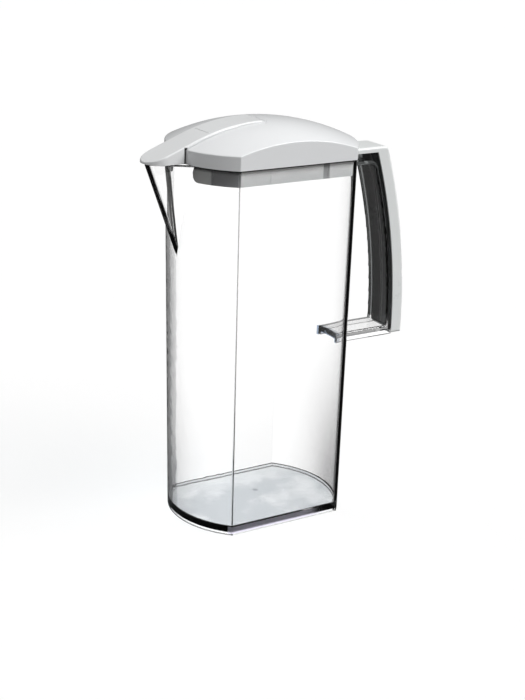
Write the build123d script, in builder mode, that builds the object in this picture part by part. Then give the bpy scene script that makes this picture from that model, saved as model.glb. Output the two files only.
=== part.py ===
from build123d import *

import os
from math import asin, cos, hypot, radians, sin, sqrt, tan

# A two litre table and refrigerator pitcher: a clear moulded jug with a V spout and a
# handle channel, an opaque cover that snaps over the handle, and a domed lid with a plug
# under it and a spout flap hinged in a trough along its top.
#
# Frame, in millimetres: Z is up, X runs along the pouring axis with the spout at -X and
# the handle at +X, Y runs across, and the foot stands on Z = 0. The long straight sides
# of the plan are centred on X = 0.

# Jug body
base_half_flat = 41.8     # half of the straight side at the foot
base_half_width = 42.2    # half of the width across at the foot
base_front_bulge = 17.9   # how far the rounded front stands past the straight sides
base_rear_bulge = 16.7
rim_height = 247.0
rim_half_flat = 43.6
rim_half_width = 43.6
rim_front_bulge = 21.4
rim_rear_bulge = 16.9
wall = 2.5
corner_radius = 1.0       # upright corners, outside
inner_corner_radius = 1.0
floor_thickness = 4.7
foot_height = 1.2         # the floor is raised this far off the table, on a ring
foot_width = 3.0
floor_fillet = 0.9        # inside, where the walls meet the floor
rim_outer_fillet = 0.9
rim_inner_fillet = 0.5

# V spout
spout_reach = 21.8        # how far the rounded tip stands past the front of the rim
spout_half_angle = 34.5   # of the V, seen from above
spout_lean = 0.379        # how far the ridge moves in for each millimetre down
spout_ridge_radius = 2.6
spout_groove_radius = 0.8
spout_root = 20.0         # the V is drawn this far back from the front of the rim

# Handle, a clear channel in one piece with the jug
handle_half_width = 12.0
handle_depth = 13.5       # finger face to back of the grip, cover included
grip_reach = 52.0         # back of the grip past the rear of the rim, at its belly
grip_radius = 395.0       # of the back of the grip, seen from the side
grip_belly_height = 122.0
handle_web = 2.6
handle_flange = 2.6
lower_arm_top = 118.0
lower_arm_height = 6.5
lower_arm_web = 4.0
upper_arm_drop = 12.5     # underside of the upper arm below the rim
grip_clear_depth = 4.5    # how much of the grip stays clear at the side
upper_clear_depth = 8.0   # the same on the upper arm
tongue_wall = 1.2         # the part of the flange that goes on into the cover
loop_radius = 5.0         # corners of the finger loop
handle_edge_radius = 1.4

# Handle cover
cover_back_wall = 1.9
cover_gap = 0.1           # cover to tongue, and edge of the cover to the jug
cover_end_gap = 0.3       # inside of the cover to the ends of the tongue
cover_top_drop = 0.8      # top of the cover below the rim of the jug
cover_end_rise = 0.2      # lower end of the cover above the underside of the lower arm
cover_body_gap = 0.3
cover_top_radius = 5.0
cover_end_radius = 4.0
cover_edge_radius = 1.8

# Lid cover
lid_overhang_side = 0.8
lid_overhang_end = 0.3
lid_crown_rise = 23.2     # highest point of the dome above the rim
lid_crown_shift = -2.0    # the dome peaks this far off the middle, towards the spout
lid_radius_along = 148.0
lid_radius_across = 132.0
lid_wall = 2.0
lid_rim_wall = 2.6
lid_edge_radius = 0.8

# Spout flap, and the trough in the lid that it lies in
flap_half_width = 12.0
flap_gap = 0.35           # flap to lid, all round
flap_wall = 2.0
flap_crest_rise = 23.6    # highest point of the flap above the rim
flap_crest_place = -7.7   # the hinge is under the crest
flap_radius = 133.0
flap_bend = -57.0         # behind this the flap is arched, ahead of it it is straight
beak_reach = 1.7          # how far the beak stands past the spout tip
beak_spout_gap = 0.3
flap_edge_radius = 1.1
flap_bead_place = -46.0   # a low bead across the top of the flap
flap_bead_half_length = 9.0
flap_bead_radius = 1.0
flap_bead_height = 0.25
trough_wall = 1.8
hinge_knuckle_radius = 2.4
hinge_pin_radius = 1.1
hinge_pin_length = 1.5    # how far each pin stands out of the flap
hinge_bore_gap = 0.06

# Plug under the lid
plug_depth = 10.8         # below the rim of the jug
plug_gap = 0.35           # plug to the inside of the jug
plug_wall = 1.6
plug_plate = 1.8
plug_plate_lift = 0.3     # plate clear of the rim of the jug
plug_lid_gap = 0.1
plug_mouth_half_width = 15.0
plug_mouth_radius = 4.0
plug_rib_width = 2.0
plug_rib_height = 0.2
plug_side_ribs = (-19.0, 24.0)
plug_front_rib = 28.0

floor_top = foot_height + floor_thickness
rim_front = -(rim_half_flat + rim_front_bulge)
rim_rear = rim_half_flat + rim_rear_bulge
beak_tip = rim_front - spout_reach - beak_reach
lid_crown = rim_height + lid_crown_rise
lid_clear = lid_crown_rise + 10.0
flap_crest = rim_height + flap_crest_rise


def outline(half_flat, half_width, front_bulge, rear_bulge):
    """Plan of the jug or the lid: two straight sides joined by two arcs."""
    with BuildLine() as edge:
        Line((-half_flat, -half_width), (half_flat, -half_width))
        ThreePointArc(
            (half_flat, -half_width),
            (half_flat + rear_bulge, 0),
            (half_flat, half_width),
        )
        Line((half_flat, half_width), (-half_flat, half_width))
        ThreePointArc(
            (-half_flat, half_width),
            (-half_flat - front_bulge, 0),
            (-half_flat, -half_width),
        )
    return edge.line


def plan_sketch(edge, height, inset, corner):
    """Sketch of a plan at a height, drawn in by inset and with its corners rounded."""
    with BuildSketch(Plane.XY.offset(height)) as plan:
        make_face(edge)
        if inset:
            offset(amount=-inset, kind=Kind.INTERSECTION, mode=Mode.REPLACE)
        if corner:
            fillet(plan.vertices(), radius=corner)
    return plan.sketch


def jug_plan(height, inset=0.0, corner=0.0):
    """Plan of the jug at a height; it widens evenly from the foot to the rim."""
    share = height / rim_height
    edge = outline(
        base_half_flat + share * (rim_half_flat - base_half_flat),
        base_half_width + share * (rim_half_width - base_half_width),
        base_front_bulge + share * (rim_front_bulge - base_front_bulge),
        base_rear_bulge + share * (rim_rear_bulge - base_rear_bulge),
    )
    return plan_sketch(edge, height, inset, corner)


def lid_plan(inset=0.0, corner=0.0):
    """Plan of the lid, which stands a little past the rim of the jug."""
    edge = outline(
        rim_half_flat,
        rim_half_width + lid_overhang_side,
        rim_front_bulge + lid_overhang_end,
        rim_rear_bulge + lid_overhang_end,
    )
    return plan_sketch(edge, rim_height, inset, corner)


def spout_plan(height, inset, radius):
    """The V of the spout seen from above, drawn in by inset, with its point rounded."""
    half_angle = radians(spout_half_angle)
    sharp = rim_front - spout_reach - spout_ridge_radius * (1 / sin(half_angle) - 1)
    point = sharp - spout_lean * (height - rim_height) + inset / sin(half_angle)
    root = rim_front + spout_root
    side = (root - point) * tan(half_angle)
    with BuildSketch(Plane.XY.offset(height)) as vee:
        with BuildLine():
            Polyline((point, 0), (root, -side), (root, side), close=True)
        make_face()
        fillet(vee.vertices().sort_by(Axis.X)[0], radius=radius)
    return vee.sketch


# The V is drawn down along its leaning ridge until the ridge is inside the wall.
spout_fall = (spout_reach + spout_ridge_radius + wall) / spout_lean
spout_slope = (spout_lean, 0, -1)
spout_slant = hypot(1, spout_lean)

# Side view of the handle. The curves of the grip share one centre.
arm_root = rim_half_flat
grip_back = rim_rear + grip_reach
grip_centre = grip_back - grip_radius
lower_arm_bottom = lower_arm_top - lower_arm_height
upper_arm_under = rim_height - upper_arm_drop
upper_clear_top = upper_arm_under + upper_clear_depth
cover_top = rim_height - cover_top_drop
cover_bottom = lower_arm_bottom + cover_end_rise
cover_side_depth = handle_depth - grip_clear_depth


def grip_x(depth, height):
    """Where the curve at a depth under the back of the grip stands, at a height."""
    radius = grip_radius - depth
    return grip_centre + sqrt(radius**2 - (height - grip_belly_height) ** 2)


def handle_side(depth, bottom, top, top_radius=0.0, end_radius=0.0):
    """Side view of all that lies under a depth from the back of the handle."""
    middle = (bottom + top) / 2
    with BuildSketch(Plane.XZ) as side:
        with BuildLine():
            Line((arm_root, bottom), (grip_x(depth, bottom), bottom))
            ThreePointArc(
                (grip_x(depth, bottom), bottom),
                (grip_x(depth, middle), middle),
                (grip_x(depth, top), top),
            )
            Line((grip_x(depth, top), top), (arm_root, top))
            Line((arm_root, top), (arm_root, bottom))
        make_face()
        corners = side.vertices().sort_by(Axis.X)[2:].sort_by(Axis.Z)
        if end_radius:
            fillet(corners[0], radius=end_radius)
        if top_radius:
            fillet(corners[1], radius=top_radius)
    return side.sketch


# Jug body: one clear moulding with its spout and its handle
with BuildPart() as handle:
    # Web round the finger loop, flanges beside it, and the tongue inside the cover
    extrude(
        handle_side(cover_side_depth, lower_arm_bottom, upper_clear_top),
        amount=handle_half_width,
        both=True,
    )
    extrude(
        handle_side(handle_depth, lower_arm_top, upper_arm_under, loop_radius, loop_radius),
        amount=handle_half_width,
        both=True,
        mode=Mode.SUBTRACT,
    )
    rounded = handle.edges().filter_by(
        lambda edge: abs(abs(edge.center().Y) - handle_half_width) < 0.01
        and lower_arm_top - 0.1 < edge.center().Z < upper_arm_under + 0.1
        and edge.center().X < grip_back - handle_depth + 0.1
    )
    fillet(rounded, radius=handle_edge_radius)
    tongue = handle_side(
        cover_back_wall + cover_end_gap,
        cover_bottom + cover_back_wall + cover_end_gap,
        cover_top - cover_back_wall - cover_end_gap,
        cover_top_radius - cover_back_wall,
        cover_end_radius - cover_back_wall,
    )
    web = handle_side(
        handle_depth - handle_web,
        lower_arm_top - lower_arm_web,
        upper_arm_under + handle_web,
        loop_radius + handle_web,
        loop_radius + handle_web,
    )
    channel_half_width = handle_half_width - handle_flange
    extrude(
        tongue - web,
        amount=channel_half_width + tongue_wall,
        both=True,
    )
    extrude(
        handle_side(0, lower_arm_bottom - 1, cover_top) - web,
        amount=channel_half_width,
        both=True,
        mode=Mode.SUBTRACT,
    )

with BuildPart() as jug_body:
    # Outside, with the V of the spout and the handle
    loft([jug_plan(0, corner=corner_radius), jug_plan(rim_height, corner=corner_radius)])
    extrude(
        spout_plan(rim_height, 0, spout_ridge_radius),
        amount=spout_fall * spout_slant,
        dir=spout_slope,
    )
    add(handle.part)
    # Inside, drawn a little past the rim
    over = rim_height + 1
    loft(
        [
            jug_plan(floor_top, wall, inner_corner_radius),
            jug_plan(over, wall, inner_corner_radius),
        ],
        mode=Mode.SUBTRACT,
    )
    extrude(
        spout_plan(over, wall, spout_groove_radius),
        amount=spout_fall * spout_slant,
        dir=spout_slope,
        mode=Mode.SUBTRACT,
    )
    # The floor stands on a ring
    extrude(
        jug_plan(0, foot_width, inner_corner_radius),
        amount=foot_height,
        mode=Mode.SUBTRACT,
    )
    floor_edges = jug_body.edges().filter_by_position(Axis.Z, floor_top, floor_top)
    fillet(floor_edges, radius=floor_fillet)
    rim = jug_body.faces().sort_by(Axis.Z)[-1]
    fillet(rim.outer_wire().edges(), radius=rim_outer_fillet)
    rim = jug_body.faces().sort_by(Axis.Z)[-1]
    fillet(rim.inner_wires()[0].edges(), radius=rim_inner_fillet)

# Handle cover: a closed channel snapped on over the tongue
with BuildPart() as handle_cover:
    extrude(
        handle_side(0, cover_bottom, cover_top, cover_top_radius, cover_end_radius),
        amount=handle_half_width,
        both=True,
    )
    rounded = handle_cover.edges().filter_by(
        lambda edge: abs(abs(edge.center().Y) - handle_half_width) < 0.01
        and edge.center().X > arm_root + 0.1
    )
    fillet(rounded, radius=cover_edge_radius)
    extrude(
        handle_side(
            cover_side_depth - cover_gap,
            cover_bottom - 1,
            upper_clear_top + cover_gap,
        ),
        amount=handle_half_width,
        both=True,
        mode=Mode.SUBTRACT,
    )
    extrude(
        handle_side(
            cover_back_wall,
            cover_bottom + cover_back_wall,
            cover_top - cover_back_wall,
            cover_top_radius - cover_back_wall,
            cover_end_radius - cover_back_wall,
        ),
        amount=channel_half_width + tongue_wall + cover_gap,
        both=True,
        mode=Mode.SUBTRACT,
    )
    loft(
        [jug_plan(0, -cover_body_gap), jug_plan(rim_height, -cover_body_gap)],
        mode=Mode.SUBTRACT,
    )


def dome(sink):
    """A ring whose top is the dome of the lid, sunk by a thickness."""
    reach = rim_half_width + 10
    radius = lid_radius_across - sink
    centre = lid_crown - lid_radius_across
    side = centre + sqrt(radius**2 - reach**2)
    low = rim_height - 10
    across = Plane(origin=(lid_crown_shift, 0, 0), x_dir=(0, 1, 0), z_dir=(1, 0, 0))
    with BuildPart() as ring:
        with BuildSketch(across):
            with BuildLine():
                Line((-reach, side), (-reach, low))
                Line((-reach, low), (reach, low))
                Line((reach, low), (reach, side))
                ThreePointArc((reach, side), (0, centre + radius), (-reach, side))
            make_face()
        revolve(axis=Axis((lid_crown_shift, 0, lid_crown - lid_radius_along), (0, 1, 0)))
    return ring.part


# Side view of the flap: an arch ahead of its crest, and a straight front tangent to it
flap_turn = asin((flap_crest_place - flap_bend) / flap_radius)
hinge_height = flap_crest - hinge_knuckle_radius
trough_half_width = flap_half_width + flap_gap
trough_depth = flap_wall + flap_gap
pocket_radius = hinge_knuckle_radius + flap_gap


def flap_point(depth, turn, along=0.0):
    """Point at a depth under the top of the flap, at a turn from its crest."""
    radius = flap_radius - depth
    return (
        flap_crest_place - radius * sin(turn) - along * cos(turn),
        flap_crest - flap_radius + radius * cos(turn) - along * sin(turn),
    )


def trough_side(depth, radius):
    """Side view of all that stands over a depth under the flap, back to its hinge."""
    front = flap_point(depth, flap_turn, flap_bend - beak_tip + 5)
    clear = flap_crest + lid_clear
    rear = flap_crest_place + radius
    with BuildSketch(Plane.XZ) as side:
        with BuildLine():
            ThreePointArc(
                flap_point(depth, 0),
                flap_point(depth, flap_turn / 2),
                flap_point(depth, flap_turn),
            )
            Polyline(
                flap_point(depth, flap_turn),
                front,
                (front[0], clear),
                (rear, clear),
                (rear, hinge_height),
                (flap_crest_place, hinge_height),
                flap_point(depth, 0),
            )
        make_face()
        with Locations((flap_crest_place, hinge_height)):
            Circle(radius)
    return side.sketch


# Lid cover: a dome with a trough for the flap
with BuildPart() as lid_hollow:
    extrude(lid_plan(lid_rim_wall, inner_corner_radius), amount=lid_clear)
    add(dome(lid_wall), mode=Mode.INTERSECT)
    extrude(
        trough_side(trough_depth + trough_wall, pocket_radius + trough_wall),
        amount=trough_half_width + trough_wall,
        both=True,
        mode=Mode.SUBTRACT,
    )

with BuildPart() as lid_cover:
    extrude(lid_plan(corner=corner_radius), amount=lid_clear)
    add(dome(0), mode=Mode.INTERSECT)
    top_edges = lid_cover.faces().sort_by(Axis.Z)[-1].edges()
    fillet(top_edges, radius=lid_edge_radius)
    add(lid_hollow.part, mode=Mode.SUBTRACT)
    extrude(
        trough_side(trough_depth, pocket_radius),
        amount=trough_half_width,
        both=True,
        mode=Mode.SUBTRACT,
    )
    with Locations((flap_crest_place, 0, hinge_height)):
        Cylinder(
            radius=hinge_pin_radius + hinge_bore_gap,
            height=2 * (trough_half_width + trough_wall) + 1,
            rotation=(90, 0, 0),
            mode=Mode.SUBTRACT,
        )

# Lid plug: a pan inside the rim of the jug, with a mouth at the spout
plug_bottom = rim_height - plug_depth
plate_bottom = rim_height + plug_plate_lift
plug_inset = wall + plug_gap
with BuildPart() as lid_plug:
    loft(
        [
            jug_plan(plug_bottom, plug_inset - plug_rib_height, inner_corner_radius),
            jug_plan(rim_height, plug_inset - plug_rib_height, inner_corner_radius),
        ]
    )
    with BuildSketch() as ribs:
        for place in plug_side_ribs:
            with Locations((place, 0)):
                Rectangle(plug_rib_width, 2 * rim_half_width)
        with Locations((rim_front, plug_front_rib), (rim_front, -plug_front_rib)):
            Rectangle(rim_half_flat, plug_rib_width)
    extrude(amount=rim_height, mode=Mode.INTERSECT)
    loft(
        [
            jug_plan(plug_bottom, plug_inset, inner_corner_radius),
            jug_plan(plate_bottom, plug_inset, inner_corner_radius),
        ]
    )
    plate = lid_plan(lid_rim_wall + plug_lid_gap, inner_corner_radius)
    extrude(plate.moved(Location((0, 0, plug_plate_lift))), amount=plug_plate)
    loft(
        [
            jug_plan(plug_bottom, plug_inset + plug_wall, inner_corner_radius / 2),
            jug_plan(plate_bottom, plug_inset + plug_wall, inner_corner_radius / 2),
        ],
        mode=Mode.SUBTRACT,
    )
    mouth_height = plate_bottom - plug_bottom
    with BuildSketch(Plane.YZ.offset(rim_front)) as mouth:
        with Locations((0, plug_bottom + mouth_height / 2)):
            Rectangle(2 * plug_mouth_half_width, mouth_height)
    extrude(amount=spout_root, mode=Mode.SUBTRACT)
    mouth_corners = lid_plug.edges().filter_by(
        lambda edge: abs(abs(edge.center().Y) - plug_mouth_half_width) < 0.01
        and abs(edge.center().Z - plug_bottom) < 0.01
    )
    fillet(mouth_corners, radius=plug_mouth_radius)


def beak_plan(half_width, tip):
    """Plan of the flap: straight sides that end in a half circle at the beak."""
    start = tip + half_width
    with BuildSketch(Plane.XY.offset(rim_height + beak_spout_gap)) as plan:
        with BuildLine():
            ThreePointArc((start, half_width), (tip, 0), (start, -half_width))
            Polyline(
                (start, -half_width),
                (flap_crest_place, -half_width),
                (flap_crest_place, half_width),
                (start, half_width),
            )
        make_face()
    return plan.sketch


# Spout flap: a beak over the spout, and a band back along the lid to its hinge pins
with BuildPart() as flap_hollow:
    extrude(lid_plan(-flap_gap), amount=lid_clear)
    extrude(beak_plan(flap_half_width - flap_wall, beak_tip + flap_wall), amount=lid_clear)
    extrude(
        trough_side(flap_wall, hinge_knuckle_radius),
        amount=rim_half_width,
        both=True,
        mode=Mode.SUBTRACT,
    )

with BuildPart() as spout_flap:
    extrude(beak_plan(flap_half_width, beak_tip), amount=lid_clear)
    extrude(
        trough_side(0, hinge_knuckle_radius),
        amount=rim_half_width,
        both=True,
        mode=Mode.SUBTRACT,
    )
    top_faces = spout_flap.faces().filter_by(lambda face: face.normal_at().Z > 0.5)
    fillet(top_faces.edges().filter_by(Axis.Y, reverse=True), radius=flap_edge_radius)
    add(flap_hollow.part, mode=Mode.SUBTRACT)
    bead_turn = asin((flap_crest_place - flap_bead_place) / flap_radius)
    with BuildSketch(Plane.XZ):
        with Locations(flap_point(flap_bead_radius - flap_bead_height, bead_turn)):
            Circle(flap_bead_radius)
    extrude(amount=flap_bead_half_length, both=True)
    with BuildSketch(Plane.XZ):
        with Locations((flap_crest_place, hinge_height)):
            Circle(hinge_knuckle_radius)
    extrude(amount=flap_half_width, both=True)
    with BuildSketch(Plane.XZ):
        with Locations((flap_crest_place, hinge_height)):
            Circle(hinge_pin_radius)
    extrude(amount=flap_half_width + hinge_pin_length, both=True)

os.makedirs("parts", exist_ok=True)
jug_body.part.label = "jug_body"
handle_cover.part.label = "handle_cover"
lid_cover.part.label = "lid_cover"
lid_plug.part.label = "lid_plug"
spout_flap.part.label = "spout_flap"
export_step(jug_body.part, "parts/jug_body.step")
export_step(handle_cover.part, "parts/handle_cover.step")
export_step(lid_cover.part, "parts/lid_cover.step")
export_step(lid_plug.part, "parts/lid_plug.step")
export_step(spout_flap.part, "parts/spout_flap.step")
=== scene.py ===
# %% [markdown]
# # A clear two litre pitcher
# The real object is five plastic mouldings: a clear jug, a white cover that fits over its handle, and
# a white lid with a greyer plug under it and a flap that tips up for pouring. They are loaded as they
# were packed, in metres, with the foot on Z = 0, the spout at -X and the handle at +X.

# %% Load the frame
from math import radians

import bmesh
import bpy
from mathutils import Matrix, Vector

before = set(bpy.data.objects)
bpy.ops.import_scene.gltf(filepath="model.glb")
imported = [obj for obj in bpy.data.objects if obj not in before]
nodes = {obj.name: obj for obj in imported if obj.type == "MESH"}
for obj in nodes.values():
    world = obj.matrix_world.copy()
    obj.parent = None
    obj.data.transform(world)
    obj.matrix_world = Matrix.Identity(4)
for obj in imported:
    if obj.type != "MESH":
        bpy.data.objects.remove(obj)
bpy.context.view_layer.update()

# %% [markdown]
# ## The camera
# The photographer stood off the near corner of the spout side and looked down a little. A long lens
# keeps the jug's upright corners almost parallel. The turn, the tilt and the small roll are set as
# angles, because a camera that only tracks a target can't hold a roll.

# %% Set the camera
camera_place = Vector((-0.5239, -0.8333, 0.4471))
camera_turn = radians(-32.37)
camera_tilt = radians(18.83)
camera_roll = radians(1.82)
lens_length = 78.82
sensor_width = 36.0
nearest_seen = 0.05

camera = bpy.data.objects.new("camera", bpy.data.cameras.new("camera"))
bpy.context.scene.collection.objects.link(camera)
camera.data.lens = lens_length
camera.data.sensor_width = sensor_width
camera.data.clip_start = nearest_seen
camera.matrix_world = (
    Matrix.Translation(camera_place)
    @ Matrix.Rotation(camera_turn, 4, "Z")
    @ Matrix.Rotation(radians(90) - camera_tilt, 4, "X")
    @ Matrix.Rotation(camera_roll, 4, "Z")
)
bpy.context.scene.camera = camera
print("camera looks along", camera.matrix_world.to_3x3() @ Vector((0, 0, -1)))

# %% [markdown]
# ## Node helpers
# Every finish below is a small node tree. These helpers keep them short: each adds one node, wires
# what it is given, whether a number or another node's output, and hands back the output to go on with.

# %% Add nodes and feed them
def add_node(tree, kind, **settings):
    """A node of this kind; a setting whose name is an input goes to that input."""
    node = tree.nodes.new(kind)
    for name, value in settings.items():
        socket = node.inputs.get(name.replace("_", " "))
        if socket is not None:
            socket.default_value = value
        else:
            setattr(node, name, value)
    return node


def feed(tree, socket, value):
    """Link an output to a socket, or set the socket to a number or a colour."""
    if isinstance(value, bpy.types.NodeSocket):
        tree.links.new(value, socket)
    elif isinstance(value, tuple):
        socket.default_value = (*value, 1)
    else:
        socket.default_value = value


def calculate(tree, operation, *values):
    """The result of a Math node."""
    node = add_node(tree, "ShaderNodeMath", operation=operation)
    for socket, value in zip(node.inputs, values):
        feed(tree, socket, value)
    return node.outputs[0]


def noise(tree, scale, detail=2.0, roughness=0.5):
    """Noise on Object coordinates, about 0.5 on average; scale is in lumps per metre."""
    place = add_node(tree, "ShaderNodeTexCoord")
    node = add_node(tree, "ShaderNodeTexNoise", Scale=scale, Detail=detail, Roughness=roughness)
    tree.links.new(place.outputs["Object"], node.inputs["Vector"])
    return node.outputs["Fac"]


# %% [markdown]
# ## Moulded skin, shared by every opaque piece
# Moulded plastic is never a flat colour. It has a very fine spark texture that breaks up highlights,
# slow waves where the wall shrank as it cooled, and paler and darker clouds from handling. One node
# group makes all three from noise on Object coordinates, so the grain keeps its real size on every
# piece and holds still when the piece moves.

# %% Build the moulded skin group
skin = bpy.data.node_groups.new("moulded_skin", "ShaderNodeTree")
skin.interface.new_socket("Colour", in_out="INPUT", socket_type="NodeSocketColor")
skin.interface.new_socket("Roughness", in_out="INPUT", socket_type="NodeSocketFloat")
skin.interface.new_socket("Grain", in_out="INPUT", socket_type="NodeSocketFloat")
skin.interface.new_socket("Clouds", in_out="INPUT", socket_type="NodeSocketFloat")
skin.interface.new_socket("Colour", in_out="OUTPUT", socket_type="NodeSocketColor")
skin.interface.new_socket("Roughness", in_out="OUTPUT", socket_type="NodeSocketFloat")
skin.interface.new_socket("Height", in_out="OUTPUT", socket_type="NodeSocketFloat")

skin_in = skin.nodes.new("NodeGroupInput").outputs
skin_out = skin.nodes.new("NodeGroupOutput").inputs
spark_scale = 2600.0
wave_scale = 45.0
wave_height = 1.5
cloud_scale = 24.0
spark = noise(skin, spark_scale, detail=2.0, roughness=0.6)
waves = noise(skin, wave_scale, detail=1.0)
clouds = noise(skin, cloud_scale, detail=5.0, roughness=0.62)

cloud = calculate(skin, "MULTIPLY", calculate(skin, "SUBTRACT", clouds, 0.5), skin_in["Clouds"])
tint = add_node(skin, "ShaderNodeHueSaturation")
feed(skin, tint.inputs["Color"], skin_in["Colour"])
feed(skin, tint.inputs["Value"], calculate(skin, "ADD", cloud, 1.0))
feed(skin, skin_out["Colour"], tint.outputs["Color"])
feed(skin, skin_out["Roughness"], calculate(skin, "ADD", skin_in["Roughness"], cloud))
fine = calculate(skin, "MULTIPLY", spark, skin_in["Grain"])
feed(skin, skin_out["Height"], calculate(skin, "MULTIPLY_ADD", waves, wave_height, fine))
print("moulded skin has", len(skin.nodes), "nodes")

# %% [markdown]
# Every plastic starts from one Principled shader. On the opaque ones the skin drives the colour, the
# roughness and a bump of a fiftieth of a millimetre.

# %% Make a plastic, and an opaque one from the skin
skin_relief = 0.00002


def new_plastic(name, colour, roughness):
    """A material with one Principled shader, its node tree, and that shader."""
    material = bpy.data.materials.new(name)
    material.use_nodes = True
    tree = material.node_tree
    shader = tree.nodes["Principled BSDF"]
    shader.inputs["Base Color"].default_value = (*colour, 1)
    shader.inputs["Roughness"].default_value = roughness
    return material, tree, shader


def moulded_plastic(name, colour, roughness, grain, clouds):
    """Opaque moulded plastic: the skin group drives colour, roughness and bump."""
    material, tree, shader = new_plastic(name, colour, roughness)
    group = add_node(tree, "ShaderNodeGroup", node_tree=skin)
    group.inputs["Colour"].default_value = (*colour, 1)
    group.inputs["Roughness"].default_value = roughness
    group.inputs["Grain"].default_value = grain
    group.inputs["Clouds"].default_value = clouds
    bump = add_node(tree, "ShaderNodeBump", Strength=1.0, Distance=skin_relief)
    tree.links.new(group.outputs["Height"], bump.inputs["Height"])
    tree.links.new(bump.outputs["Normal"], shader.inputs["Normal"])
    tree.links.new(group.outputs["Colour"], shader.inputs["Base Color"])
    tree.links.new(group.outputs["Roughness"], shader.inputs["Roughness"])
    return material, tree, shader


def dress(node_name, material):
    """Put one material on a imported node, in place of the plain one."""
    mesh = nodes[node_name].data
    mesh.materials.clear()
    mesh.materials.append(material)
    print(node_name, "wears", material.name, "on", len(mesh.polygons), "faces")


# %% [markdown]
# ## White lid, flap and plug
# The white pieces are the same resin. The lid's dome is the smoothest and has a crisp gloss along its
# edges. The flap is handled most, so it is a little cloudier. The plug is a duller grey.

# %% Make the finishes of the lid, the flap and the plug
lid_white = moulded_plastic("lid_white", (0.82, 0.83, 0.84), roughness=0.24, grain=0.5, clouds=0.05)[0]
flap_white, flap_tree, flap_shader = moulded_plastic(
    "flap_white", (0.83, 0.84, 0.845), roughness=0.26, grain=0.6, clouds=0.07
)
plug_grey, plug_tree, plug_shader = moulded_plastic(
    "plug_grey", (0.60, 0.60, 0.595), roughness=0.45, grain=0.9, clouds=0.10
)
dress("lid_cover", lid_white)
dress("spout_flap", flap_white)
dress("lid_plug", plug_grey)

# %% [markdown]
# ## Masks
# The finishes change from place to place. A mask is a value from 0 to 1 over the surface, made here
# from Object coordinates in metres. An edge of a mask is a pair of places: where it starts, at 0, and
# where it is full, at 1.

# %% Make masks, join them and mix colours by them
def where(tree):
    """The three Object coordinates of the point that is shaded, in metres."""
    place = add_node(tree, "ShaderNodeTexCoord")
    parts = add_node(tree, "ShaderNodeSeparateXYZ")
    tree.links.new(place.outputs["Object"], parts.inputs[0])
    return parts.outputs


def ramp(tree, value, start, end):
    """0 at start, 1 at end and an eased slope between them."""
    node = add_node(tree, "ShaderNodeMapRange", interpolation_type="SMOOTHSTEP")
    feed(tree, node.inputs["Value"], value)
    node.inputs["From Min"].default_value = start
    node.inputs["From Max"].default_value = end
    return node.outputs["Result"]


def both(tree, *masks):
    """Where every mask holds."""
    result = masks[0]
    for mask in masks[1:]:
        result = calculate(tree, "MULTIPLY", result, mask)
    return result


def flip(tree, mask):
    """Where a mask doesn't hold."""
    return calculate(tree, "SUBTRACT", 1.0, mask)


def between(tree, share, first, second):
    """The colour that lies a share of the way from the first to the second."""
    node = add_node(tree, "ShaderNodeMix", data_type="RGBA")
    feed(tree, node.inputs[0], share)
    feed(tree, node.inputs[6], first)
    feed(tree, node.inputs[7], second)
    return node.outputs[2]


# %% [markdown]
# Through the wall of the jug, the plug isn't one grey. It is painted paler towards its top, as painted
# light against the shade under the rim, and darker in its front panel, as painted shade on the side
# turned from the lamp. It is darker in a stripe of each side, and painted shade lies in the shade of
# the rim at its front.

# %% Paint light and shade on the plug
plug_x, plug_y, plug_z = where(plug_tree)
plug_side = calculate(plug_tree, "ABSOLUTE", plug_y)
front_edge = (-0.0410, -0.0425)
plug_front = ramp(plug_tree, plug_x, *front_edge)
plug_colour = plug_shader.inputs["Base Color"].links[0].from_socket

# Painted light: the plug's top is painted paler, lifting the shade under the rim.
painted_light_pale = (0.90, 0.89, 0.88)
top_edge = (0.2370, 0.2455)
painted_light_top = calculate(plug_tree, "SUBTRACT", ramp(plug_tree, plug_z, *top_edge), plug_front)
plug_colour = between(plug_tree, painted_light_top, plug_colour, painted_light_pale)

stripe_grey = (0.33, 0.33, 0.33)
stripe_front = (0.0192, 0.0198)
stripe_rear = (0.0246, 0.0240)
stripe = both(
    plug_tree,
    ramp(plug_tree, plug_x, *stripe_front),
    ramp(plug_tree, plug_x, *stripe_rear),
)
plug_colour = between(plug_tree, stripe, plug_colour, stripe_grey)

# Painted shade: the front panel, turned from the lamp, is painted darker.
painted_shade_grey = (0.25, 0.25, 0.26)
panel_side = (0.0272, 0.0282)
panel = both(plug_tree, plug_front, ramp(plug_tree, plug_side, *panel_side))
plug_colour = between(plug_tree, panel, plug_colour, painted_shade_grey)

shade_black = (0.012, 0.012, 0.012)
shade_edge = (0.2435, 0.2455)
shade = both(plug_tree, plug_front, ramp(plug_tree, plug_z, *shade_edge))
plug_colour = between(plug_tree, shade, plug_colour, shade_black)
feed(plug_tree, plug_shader.inputs["Base Color"], plug_colour)
print("plug finish has", len(plug_tree.nodes), "nodes")

# %% [markdown]
# The sides of the flap dip into the lid's front. The narrow gap between them lies in shade, so the
# flap's sides carry painted shade there.

# %% Paint shade on the sides of the flap
flap_x, flap_y, flap_z = where(flap_tree)
flap_side = calculate(flap_tree, "ABSOLUTE", flap_y)
# Painted shade: the flap's sides are painted near black where they sit in the gap.
painted_gap_shade = (0.010, 0.010, 0.010)
gap_front = (-0.0655, -0.0650)
gap_rear = (-0.0628, -0.0634)
gap_side = (0.0113, 0.0117)
gap_top = (0.2580, 0.2570)
gap = both(
    flap_tree,
    ramp(flap_tree, flap_x, *gap_front),
    ramp(flap_tree, flap_x, *gap_rear),
    ramp(flap_tree, flap_side, *gap_side),
    ramp(flap_tree, flap_z, *gap_top),
)
flap_colour = flap_shader.inputs["Base Color"].links[0].from_socket
flap_colour = between(flap_tree, gap, flap_colour, painted_gap_shade)
feed(flap_tree, flap_shader.inputs["Base Color"], flap_colour)
print("flap finish has", len(flap_tree.nodes), "nodes")
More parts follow.
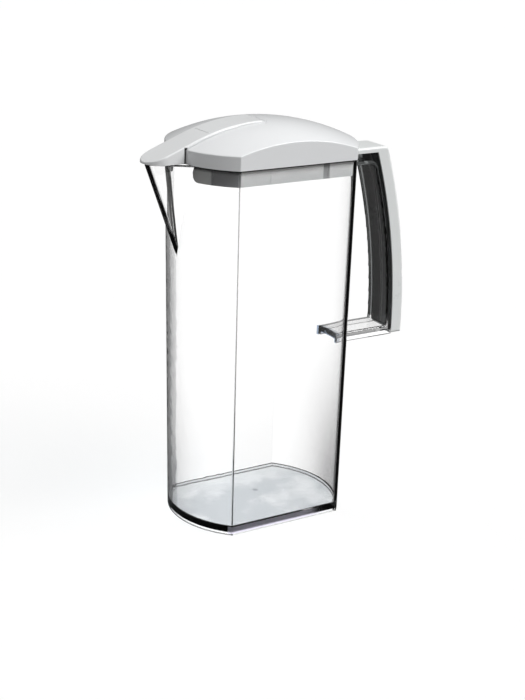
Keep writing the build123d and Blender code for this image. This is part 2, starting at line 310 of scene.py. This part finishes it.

# %% [markdown]
# ## Handle cover
# Outside, the cover is the same white as the lid. Its inside gets little light, so it is painted with
# shade: through the clear channel of the handle it shows as an almost black strip. The inside is picked
# out by place. It lies between the side walls, ahead of the curved back and between the closed ends.
# The back is an arc about a centre far in front of the jug, and the painted shade gets paler towards
# the lower end.

# %% Paint shade inside the cover
arc_centre_x = -0.2825
arc_centre_z = 0.122


def length(tree, across, along):
    """How long the line is that reaches this far two ways."""
    squares = calculate(tree, "MULTIPLY", across, across)
    return calculate(tree, "SQRT", calculate(tree, "MULTIPLY_ADD", along, along, squares))


def from_arc_centre(tree, x, z):
    """How far a place is from the centre of the handle's arcs."""
    across = calculate(tree, "SUBTRACT", x, arc_centre_x)
    along = calculate(tree, "SUBTRACT", z, arc_centre_z)
    return length(tree, across, along)


handle_white, cover_tree, cover_shader = moulded_plastic(
    "handle_white", (0.82, 0.84, 0.835), roughness=0.28, grain=0.7, clouds=0.08
)
cover_x, cover_y, cover_z = where(cover_tree)
cover_side = calculate(cover_tree, "ABSOLUTE", cover_y)
inside_side = (0.01085, 0.01078)
inside_back = (0.39330, 0.39323)
inside_top = (0.24450, 0.24443)
inside_end = (0.11345, 0.11352)
inside = both(
    cover_tree,
    ramp(cover_tree, cover_side, *inside_side),
    ramp(cover_tree, from_arc_centre(cover_tree, cover_x, cover_z), *inside_back),
    ramp(cover_tree, cover_z, *inside_top),
    ramp(cover_tree, cover_z, *inside_end),
)
# Painted shade: near black at the top of the inside, paling to grey lower down.
upper_painted_shade = (0.006, 0.009, 0.008)
lower_painted_shade = (0.17, 0.172, 0.174)
fade_down = (0.235, 0.120)
downward = ramp(cover_tree, cover_z, *fade_down)
inside_shade_colour = between(cover_tree, downward, upper_painted_shade, lower_painted_shade)
print("cover is dark inside, from", upper_painted_shade, "to", lower_painted_shade)

# %% [markdown]
# Two paler streaks of painted highlight run down the inside, one at each side, standing for glints on
# the edges of the clear web, and fade in below the top.

# %% Add the painted highlights and dress the cover
# Painted highlight: paler streaks for glints on the edges of the clear web.
painted_highlight_grey = (0.40, 0.41, 0.41)
streak_inner = (0.0076, 0.0080)
streak_outer = (0.0088, 0.0084)
streak_fade = (0.225, 0.180)
painted_highlight_streak = both(
    cover_tree,
    ramp(cover_tree, cover_side, *streak_inner),
    ramp(cover_tree, cover_side, *streak_outer),
    ramp(cover_tree, cover_z, *streak_fade),
)
inside_shade_colour = between(cover_tree, painted_highlight_streak, inside_shade_colour, painted_highlight_grey)
outer_colour = cover_shader.inputs["Base Color"].links[0].from_socket
cover_colour = between(cover_tree, inside, outer_colour, inside_shade_colour)
feed(cover_tree, cover_shader.inputs["Base Color"], cover_colour)
dress("handle_cover", handle_white)

# %% [markdown]
# ## Clear plastic
# The jug is a hard clear resin. What shows of it is mostly its edges, where the wall is seen end on
# and looks almost black, and its floor, which is a cool grey. This light and shade is painted: the
# colour of one clear material is changed by masks. Facing tells where the wall is seen at a slant, and
# Object coordinates tell the place.

# %% Start the clear plastic
resin = (0.99, 0.99, 0.99)
polish = 0.01
bending = 1.49
clear, clear_tree, clear_shader = new_plastic("clear_jug", resin, polish)
clear_shader.inputs["Transmission Weight"].default_value = 1.0
clear_shader.inputs["IOR"].default_value = bending
jug_x, jug_y, jug_z = where(clear_tree)
jug_side = calculate(clear_tree, "ABSOLUTE", jug_y)
slant = add_node(clear_tree, "ShaderNodeLayerWeight", Blend=0.5).outputs["Facing"]
middle_edge = (-0.005, 0.005)
rear = ramp(clear_tree, jug_x, *middle_edge)
front = flip(clear_tree, rear)
print("clear plastic bends light by", bending)

# %% [markdown]
# The jug is slimmer at its foot than at its rim, so its outline moves with height. The rounded front
# is an arc about a centre near the middle of the jug. How far a place lies outside that arc tells
# the front wall from the spout, which stands out of it.

# %% Follow the rounded front
def with_height(at_foot, per_metre):
    """A size of the jug that changes evenly from the foot up."""
    return calculate(clear_tree, "MULTIPLY_ADD", jug_z, per_metre, at_foot)


front_centre_foot = 0.0010
front_centre_lean = 0.0360
front_radius_foot = 0.0587
front_radius_lean = -0.0146
front_edge_out = (0.0008, 0.0004)
spout_edge_in = (0.0002, 0.0006)
front_x = calculate(clear_tree, "ADD", jug_x, with_height(front_centre_foot, front_centre_lean))
front_radius = with_height(front_radius_foot, front_radius_lean)
off_front = calculate(clear_tree, "SUBTRACT", length(clear_tree, front_x, jug_y), front_radius)
on_front = ramp(clear_tree, off_front, *front_edge_out)
on_spout = ramp(clear_tree, off_front, *spout_edge_in)
print("front arc has a radius of", front_radius_foot, "m at the foot")

# %% [markdown]
# Towards the foot the walls are painted with the grey shade of the ground seen through them, most
# where they are seen at a slant. The rounded front has a soft band of painted shade inside its outline,
# and the rear turns away so fast that its wall goes black, which is painted too.

# %% Paint shade on the walls by slant
# Painted shade: the ground's grey, seen through the lower walls.
painted_ground_shade = (0.24, 0.235, 0.24)
front_share = 0.5
ground_reach = (0.130, 0.0)
ground_slant = (0.11, 0.60)
low_wall = ramp(clear_tree, jug_z, *ground_reach)
low_share = calculate(clear_tree, "MULTIPLY_ADD", rear, 1.0 - front_share, front_share)
ground_shade_mask = both(clear_tree, low_wall, low_share, ramp(clear_tree, slant, *ground_slant))
colour = between(clear_tree, ground_shade_mask, resin, painted_ground_shade)

# Painted shade: a soft grey band inside the outline of the rounded front.
band_shade_low = (0.40, 0.40, 0.41)
band_shade_high = (0.78, 0.78, 0.785)
band_slant = (0.56, 0.59)
band_end = (0.190, 0.180)
band_fade = (0.015, 0.065)
band = both(
    clear_tree,
    front,
    on_front,
    ramp(clear_tree, slant, *band_slant),
    ramp(clear_tree, jug_z, *band_end),
)
upward = ramp(clear_tree, jug_z, *band_fade)
band_shade_colour = between(clear_tree, upward, band_shade_low, band_shade_high)
colour = between(clear_tree, band, colour, band_shade_colour)

# Painted shade: the rear wall, seen end on, is painted black.
painted_edge_shade = (0.006, 0.006, 0.007)
edge_slant = (0.74, 0.86)
end_on = both(clear_tree, rear, ramp(clear_tree, slant, *edge_slant))
colour = between(clear_tree, end_on, colour, painted_edge_shade)
print("walls go from", resin, "to", painted_ground_shade, "at the foot")

# %% [markdown]
# The spout is a V that leans. Its ridge looks dark through the clear plastic, so it is painted as a
# thick black stroke of shade with a grey edge. The ridge is found from how far it has moved in at each
# height.

# %% Paint the shade of the spout's ridge
rim_height = 0.247
ridge_at_rim = -0.0868
ridge_lean = 0.379
ridge_width = (0.0016, 0.0011)
ridge_edge_width = (0.0032, 0.0018)
# Painted shade: the ridge's black stroke and its grey edge.
painted_ridge_shade = (0.004, 0.004, 0.004)
painted_ridge_edge_shade = (0.45, 0.45, 0.45)
moved_in = with_height(ridge_lean * rim_height, -ridge_lean)
from_rim_point = calculate(clear_tree, "SUBTRACT", jug_x, ridge_at_rim)
from_ridge = calculate(clear_tree, "SUBTRACT", from_rim_point, moved_in)
ridge = both(clear_tree, ramp(clear_tree, from_ridge, *ridge_width), on_spout)
ridge_edge = both(clear_tree, ramp(clear_tree, from_ridge, *ridge_edge_width), on_spout)
colour = between(clear_tree, ridge_edge, colour, painted_ridge_edge_shade)
colour = between(clear_tree, ridge, colour, painted_ridge_shade)
print("ridge leans in by", ridge_lean, "of its height")

# %% [markdown]
# The crease where the far side of the V meets the rounded front looks dark too, and is painted as a
# black stroke of shade. It is found from being close both to the side of the V and to the front, and it
# gets wider towards the rim.

# %% Paint the shade of the spout's far crease
point_ahead = 0.0020
side_slope = 0.687
crease_out = 0.0014
crease_widening = 0.0009
widening_rise = (0.195, rim_height)
near_side = (0.0020, 0.0014)
near_crease = (0.0011, 0.0007)
crease_foot = (0.176, 0.182)
far_half = (0.0, 0.001)
# Painted shade: the crease's black stroke.
painted_crease_shade = (0.0003, 0.0003, 0.0003)
from_point = calculate(clear_tree, "ADD", from_ridge, point_ahead)
spout_side = calculate(clear_tree, "MULTIPLY", from_point, side_slope)
off_side = calculate(clear_tree, "ABSOLUTE", calculate(clear_tree, "SUBTRACT", jug_side, spout_side))
off_crease = calculate(clear_tree, "ABSOLUTE", calculate(clear_tree, "SUBTRACT", off_front, crease_out))
widening = ramp(clear_tree, jug_z, *widening_rise)
off_crease = calculate(clear_tree, "MULTIPLY_ADD", widening, -crease_widening, off_crease)
crease = both(
    clear_tree,
    ramp(clear_tree, off_side, *near_side),
    ramp(clear_tree, off_crease, *near_crease),
    ramp(clear_tree, jug_z, *crease_foot),
    ramp(clear_tree, jug_y, *far_half),
)
colour = between(clear_tree, crease, colour, painted_crease_shade)
print("crease lies", crease_out, "m outside the front arc")

# %% [markdown]
# The upright corners look dark through the clear plastic, and that is painted as a thin stroke of shade
# that gets darker towards the foot. At the rear the wall is seen end on beside it, so that painted
# stroke is wide and black. The distance to the corner is taken from how far the sides stand out at each
# height.
# A dark line of painted shade also runs along the rim, in the shade of the lid.

# %% Paint shade lines on the corners and the rim
# Painted shade: dark strokes on the corners and along the rim.
painted_corner_shade = (0.008, 0.008, 0.008)
painted_rear_shade = (0.002, 0.002, 0.002)
painted_rim_shade = (0.010, 0.010, 0.010)
corner_x_foot = 0.0418
corner_x_lean = 0.00729
corner_y_foot = 0.0422
corner_y_lean = 0.00567
line_width = (0.00055, 0.00035)
line_fade = (0.200, 0.050)
high_strength = 0.80
rear_width = (0.0026, 0.0021)
rear_inner = (-0.0006, -0.0002)
rim_edge = (0.24590, 0.24620)
out_x = calculate(clear_tree, "ABSOLUTE", jug_x)
out_x = calculate(clear_tree, "SUBTRACT", out_x, with_height(corner_x_foot, corner_x_lean))
out_y = calculate(clear_tree, "MULTIPLY", jug_y, -1.0)
out_y = calculate(clear_tree, "SUBTRACT", out_y, with_height(corner_y_foot, corner_y_lean))
to_corner = length(clear_tree, out_x, out_y)
lower = ramp(clear_tree, jug_z, *line_fade)
strength = calculate(clear_tree, "MULTIPLY_ADD", lower, 1.0 - high_strength, high_strength)
corner_shade_line = both(clear_tree, front, ramp(clear_tree, to_corner, *line_width), strength)
rear_shade_line = both(
    clear_tree,
    rear,
    ramp(clear_tree, to_corner, *rear_width),
    ramp(clear_tree, out_x, *rear_inner),
)
rim_shade_line = ramp(clear_tree, jug_z, *rim_edge)
colour = between(clear_tree, corner_shade_line, colour, painted_corner_shade)
colour = between(clear_tree, rear_shade_line, colour, painted_rear_shade)
colour = between(clear_tree, rim_shade_line, colour, painted_rim_shade)
print("corners stand", (corner_x_foot, corner_y_foot), "m out at the foot")

# %% [markdown]
# Where the lower arm of the handle is moulded to the wall, the eye looks into the arm end on and sees
# it dark, so an arch of blue-grey painted shade is laid there: a top and two sides, with nothing under
# it.

# %% Paint shade on the end of the lower arm
# Painted shade: the blue-grey arch at the end of the lower arm.
painted_arch_shade = (0.10, 0.15, 0.24)
under_side = (0.00945, 0.00935)
under_top = (0.11405, 0.11395)
arm_side = (0.01205, 0.01195)
arm_foot = (0.11145, 0.11155)
arm_top = (0.11805, 0.11795)
arm_front = (0.0540, 0.0545)
arm_rear = (0.0625, 0.0620)
under_arch = both(
    clear_tree,
    ramp(clear_tree, jug_side, *under_side),
    ramp(clear_tree, jug_z, *under_top),
)
arch = both(
    clear_tree,
    flip(clear_tree, under_arch),
    ramp(clear_tree, jug_side, *arm_side),
    ramp(clear_tree, jug_z, *arm_foot),
    ramp(clear_tree, jug_z, *arm_top),
    ramp(clear_tree, jug_x, *arm_front),
    ramp(clear_tree, jug_x, *arm_rear),
)
colour = between(clear_tree, arch, colour, painted_arch_shade)
print("arch is tinted", painted_arch_shade)

# %% [markdown]
# The sides of the grip look into the shaded inside of the cover. The far side carries dark painted
# shade, and the near side a grey of painted shade that the cover still shows through.

# %% Paint shade on the sides of the grip
# Painted shade: dark on the far side of the grip, grey on the near side.
near_grip_shade = (0.45, 0.46, 0.46)
far_grip_shade = (0.07, 0.075, 0.075)
grip_back = (0.3862, 0.3860)
grip_side = (0.0092, 0.0096)
grip_front = (0.0640, 0.0650)
grip_foot = (0.1185, 0.1195)
near_half = (0.001, -0.001)
grip = both(
    clear_tree,
    ramp(clear_tree, from_arc_centre(clear_tree, jug_x, jug_z), *grip_back),
    ramp(clear_tree, jug_side, *grip_side),
    ramp(clear_tree, jug_x, *grip_front),
    ramp(clear_tree, jug_z, *grip_foot),
)
on_near_half = ramp(clear_tree, jug_y, *near_half)
grip_shade_colour = between(clear_tree, on_near_half, far_grip_shade, near_grip_shade)
colour = between(clear_tree, grip, colour, grip_shade_colour)
print("grip is", near_grip_shade, "at the near side and", far_grip_shade, "at the far one")

# %% [markdown]
# The floor is a plate raised on a low ring. Through it shows the ground in the jug's shadow, so its
# face is painted with a cool grey of painted shadow with soft clouds in it, paler at the far side, and
# a small dimple at its middle where the plastic was let in is painted with shade.

# %% Paint shadow on the floor plate
rear_centre_x = -0.00317
plate_top = (0.00640, 0.00605)
plate_foot = (0.00540, 0.00575)
plate_side = (0.0397, 0.0394)
plate_front = (-0.0022, -0.0025)
plate_rear = (0.0594, 0.0591)
rear_x = calculate(clear_tree, "SUBTRACT", jug_x, rear_centre_x)
plate = both(
    clear_tree,
    ramp(clear_tree, jug_z, *plate_top),
    ramp(clear_tree, jug_z, *plate_foot),
    ramp(clear_tree, jug_side, *plate_side),
    ramp(clear_tree, off_front, *plate_front),
    ramp(clear_tree, length(clear_tree, rear_x, jug_y), *plate_rear),
)
# Painted shadow: the shaded ground under the jug, seen through the plate.
plate_shadow_grey = (0.42, 0.455, 0.49)
plate_shadow_pale = (0.74, 0.77, 0.79)
far_paleness = 0.85
far_edge = (0.008, 0.036)
haze_scale = 38.0
haze_edge = (0.45, 0.75)
haze = noise(clear_tree, haze_scale, detail=3.0, roughness=0.55)
far_side = ramp(clear_tree, jug_y, *far_edge)
patches = ramp(clear_tree, haze, *haze_edge)
plate_light = calculate(clear_tree, "MULTIPLY_ADD", far_side, far_paleness, patches)
plate_shadow_colour = between(clear_tree, plate_light, plate_shadow_grey, plate_shadow_pale)
colour = between(clear_tree, plate, colour, plate_shadow_colour)
print("floor plate is between", plate_shadow_grey, "and", plate_shadow_pale)

# %% Paint shade in the dimple
dimple_x = 0.0039
dimple_y = 0.0041
# Painted shade: a dark spot in the dimple at the middle of the floor.
dimple_shade_grey = (0.08, 0.09, 0.11)
dimple_strength = 0.7
dimple_edge = (0.0024, 0.0016)
across_dimple = calculate(clear_tree, "SUBTRACT", jug_x, dimple_x)
along_dimple = calculate(clear_tree, "SUBTRACT", jug_y, dimple_y)
to_dimple = length(clear_tree, across_dimple, along_dimple)
dimple = both(clear_tree, plate, ramp(clear_tree, to_dimple, *dimple_edge), dimple_strength)
colour = between(clear_tree, dimple, colour, dimple_shade_grey)
print("dimple is at", (dimple_x, dimple_y))

# %% [markdown]
# Along the near side the ring under the floor is frosted and a little violet, so it is rougher there.
# That is the last of the tints, and the colour goes into the shader.

# %% Frost the ring
violet = (0.78, 0.72, 0.95)
frost = 0.55
ring_side = (-0.0395, -0.0405)
ring_top = (0.0062, 0.0058)
ring_foot = (0.0009, 0.0013)
ring_fade = (0.040, 0.015)
ring = both(
    clear_tree,
    ramp(clear_tree, jug_y, *ring_side),
    ramp(clear_tree, jug_z, *ring_top),
    ramp(clear_tree, jug_z, *ring_foot),
    ramp(clear_tree, jug_x, *ring_fade),
)
colour = between(clear_tree, ring, colour, violet)
ring_roughness = calculate(clear_tree, "MULTIPLY_ADD", ring, frost, polish)
feed(clear_tree, clear_shader.inputs["Roughness"], ring_roughness)
feed(clear_tree, clear_shader.inputs["Base Color"], colour)
print("clear finish has", len(clear_tree.nodes), "nodes")

# %% [markdown]
# Rays from lamps pass straight through the jug and lose a little, because the renderer would
# otherwise give clear plastic a black shadow.

# %% Let lamps shine through and dress the jug
lamp_loss = (0.93, 0.95, 0.96, 1)
lamp_path = add_node(clear_tree, "ShaderNodeLightPath")
see_through = add_node(clear_tree, "ShaderNodeBsdfTransparent", Color=lamp_loss)
lamp_mix = add_node(clear_tree, "ShaderNodeMixShader")
clear_tree.links.new(lamp_path.outputs["Is Shadow Ray"], lamp_mix.inputs["Fac"])
clear_tree.links.new(clear_shader.outputs["BSDF"], lamp_mix.inputs[1])
clear_tree.links.new(see_through.outputs["BSDF"], lamp_mix.inputs[2])
clear_output = clear_tree.nodes["Material Output"]
clear_tree.links.new(lamp_mix.outputs["Shader"], clear_output.inputs["Surface"])
dress("jug_body", clear)

# %% [markdown]
# ## Floor and ground
# The jug stands on plain white. The ground is a matt grey that takes the jug's soft shadow, and adds
# its own white for rays that the camera follows, so that it reads as white. Rays that the camera
# follows through the clear plastic count as well. A ray that was mirrored on its way counts less, so
# that gloss and the walls of the jug stay quiet. Rays that light a surface don't count: they are told
# apart by having bounced off something matt before.

# %% Tell which rays the camera follows
mirrored_share = 0.28
through_gain = 0.12


def followed_rays(tree):
    """How far a ray that the camera follows counts as straight, and how far as mirrored."""
    path = add_node(tree, "ShaderNodeLightPath")
    followed = calculate(tree, "LESS_THAN", path.outputs["Diffuse Depth"], 0.5)
    seen_through = path.outputs["Is Transmission Ray"]
    straight = calculate(tree, "MAXIMUM", path.outputs["Is Camera Ray"], seen_through)
    unmirrored = calculate(tree, "LESS_THAN", path.outputs["Glossy Depth"], 0.5)
    counts = calculate(tree, "MULTIPLY_ADD", unmirrored, 1.0 - mirrored_share, mirrored_share)
    straight = calculate(tree, "MULTIPLY", straight, counts)
    mirrored = calculate(tree, "SUBTRACT", 1.0, straight)
    gain = calculate(tree, "MULTIPLY_ADD", seen_through, through_gain, 1.0)
    straight = calculate(tree, "MULTIPLY", straight, gain)
    return both(tree, straight, followed), both(tree, mirrored, followed)


# %% [markdown]
# The ground glows a little less where it is seen straight, so that the shadow isn't all lost in white.

# %% Lay the ground
ground_half = 6.0
ground_matt = 0.9
ground_colour = (0.30, 0.30, 0.30)
mirrored_ground = (0.06, 0.06, 0.06)
ground_glow = 0.82
straight_loss = 0.12
floor_mesh = bpy.data.meshes.new("floor")
floor = bpy.data.objects.new("floor", floor_mesh)
bpy.context.scene.collection.objects.link(floor)
bm = bmesh.new()
bmesh.ops.create_grid(bm, x_segments=1, y_segments=1, size=ground_half)
bm.to_mesh(floor_mesh)
bm.free()

floor_white, floor_tree, floor_shader = new_plastic("floor_white", ground_colour, ground_matt)
floor_shader.inputs["Specular IOR Level"].default_value = 0.0
floor_straight, floor_mirrored = followed_rays(floor_tree)
floor_path = add_node(floor_tree, "ShaderNodeLightPath")
seen_straight = floor_path.outputs["Is Camera Ray"]
glow = calculate(floor_tree, "MULTIPLY_ADD", seen_straight, -straight_loss, ground_glow)
floor_colour = between(floor_tree, floor_mirrored, ground_colour, mirrored_ground)
feed(floor_tree, floor_shader.inputs["Base Color"], floor_colour)
feed(floor_tree, floor_shader.inputs["Emission Color"], (1.0, 1.0, 1.0))
feed(
    floor_tree,
    floor_shader.inputs["Emission Strength"],
    calculate(floor_tree, "MULTIPLY", floor_straight, glow),
)
floor_mesh.materials.append(floor_white)
print("ground reaches", ground_half, "m each way")

# %% [markdown]
# The world is white where it is seen, and a dimmer grey overhead. What shines in the gloss of the
# plastic is a dim room that is bright overhead, so that edges catch a light and flat sides stay quiet.
# What lights the pieces is a soft room that is a little brighter behind the spout.

# %% Make the world
world = bpy.data.worlds.new("studio")
bpy.context.scene.world = world
world.use_nodes = True
sky = world.node_tree
sky_place = add_node(sky, "ShaderNodeTexCoord")
sky_parts = add_node(sky, "ShaderNodeSeparateXYZ")
sky.links.new(sky_place.outputs["Generated"], sky_parts.inputs[0])
sky_x, sky_y, sky_height = sky_parts.outputs
sky_straight, sky_mirrored = followed_rays(sky)

level_light = 1.12
overhead_loss = 0.75
overhead_edge = (0.45, 0.70)
overhead = ramp(sky, sky_height, *overhead_edge)
straight_light = calculate(sky, "MULTIPLY_ADD", overhead, -overhead_loss, level_light)

gloss_light = 0.15
gloss_overhead = 0.65
gloss_edge = (0.20, 0.75)
gloss_height = ramp(sky, sky_height, *gloss_edge)
mirrored_light = calculate(sky, "MULTIPLY_ADD", gloss_height, gloss_overhead, gloss_light)

room_base = 0.25
room_spout = 0.22
bright_x = -0.8
bright_y = 0.6
to_bright = calculate(sky, "MULTIPLY", sky_x, bright_x)
to_bright = calculate(sky, "MULTIPLY_ADD", sky_y, bright_y, to_bright)
brighter = ramp(sky, to_bright, 0.0, 1.0)
room_light = calculate(sky, "MULTIPLY_ADD", brighter, room_spout, room_base)
print("world is", level_light, "when seen, and the room", room_base, "to", room_base + room_spout)

# %% [markdown]
# The room's light is what every ray sees. The straight and the mirrored rays replace it with theirs,
# each by its own share.

# %% Join the three lights of the world
straight_change = calculate(sky, "SUBTRACT", straight_light, room_light)
mirrored_change = calculate(sky, "SUBTRACT", mirrored_light, room_light)
straight_part = calculate(sky, "MULTIPLY", sky_straight, straight_change)
mirrored_part = calculate(sky, "MULTIPLY", sky_mirrored, mirrored_change)
sky_light = calculate(sky, "ADD", straight_part, mirrored_part)
sky_light = calculate(sky, "ADD", sky_light, room_light)
feed(sky, sky.nodes["Background"].inputs["Color"], (1.0, 1.0, 1.0))
feed(sky, sky.nodes["Background"].inputs["Strength"], sky_light)
print("world has", len(sky.nodes), "nodes")

# %% [markdown]
# ## Lamp
# The photo's light is one wide soft source above the long side and towards the handle: the dome is the
# brightest, the long side of the lid is a little darker, and the near corner of the rim is in shade.

# %% Hang the lamp
towards_lamp = Vector((0.45, -0.50, 0.74))
lamp_strength = 3.05
lamp_spread = radians(45)
key_light = bpy.data.lights.new("key", "SUN")
key_light.energy = lamp_strength
key_light.angle = lamp_spread
key = bpy.data.objects.new("key", key_light)
bpy.context.scene.collection.objects.link(key)
key.rotation_euler = towards_lamp.to_track_quat("Z", "Y").to_euler()
print("key lamp strength", lamp_strength)

# %% Finish with the view transform
bpy.context.scene.view_settings.view_transform = "Standard"
